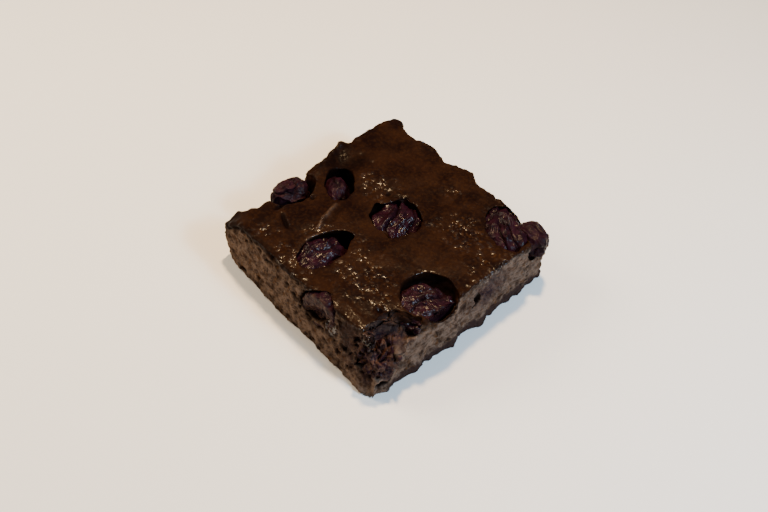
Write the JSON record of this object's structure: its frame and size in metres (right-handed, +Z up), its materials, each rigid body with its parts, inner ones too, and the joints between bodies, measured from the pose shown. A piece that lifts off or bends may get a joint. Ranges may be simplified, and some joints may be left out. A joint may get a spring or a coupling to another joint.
{
  "type": "chocolate brownie",
  "caption": "Square-cut chocolate brownie slab with a glossy crackled crust, torn crumb sides, one broken corner and whole cherries baked into it.",
  "frame": {"origin": "middle of the underside, below the middle of the whole part's box", "axes": "+Z up through the crust; the front side faces -Y and the right side +X, and the broken corner is between them"},
  "size_m": [0.0721, 0.074, 0.0215],
  "materials": {
    "chocolate_crumb": "matte crumb with a glossy crust",
    "baked_cherry": "wet gloss"
  },
  "bodies": {
    "root": {"brownie_slab": "chocolate_crumb", "cherry_front_left": "baked_cherry", "cherry_centre": "baked_cherry", "cherry_front_right": "baked_cherry", "cherry_left_edge": "baked_cherry", "cherry_sunken": "baked_cherry", "cherry_right_edge": "baked_cherry", "cherry_right_corner": "baked_cherry", "cherry_front_side": "baked_cherry", "cherry_front_corner": "baked_cherry"}
  },
  "joints": []
}
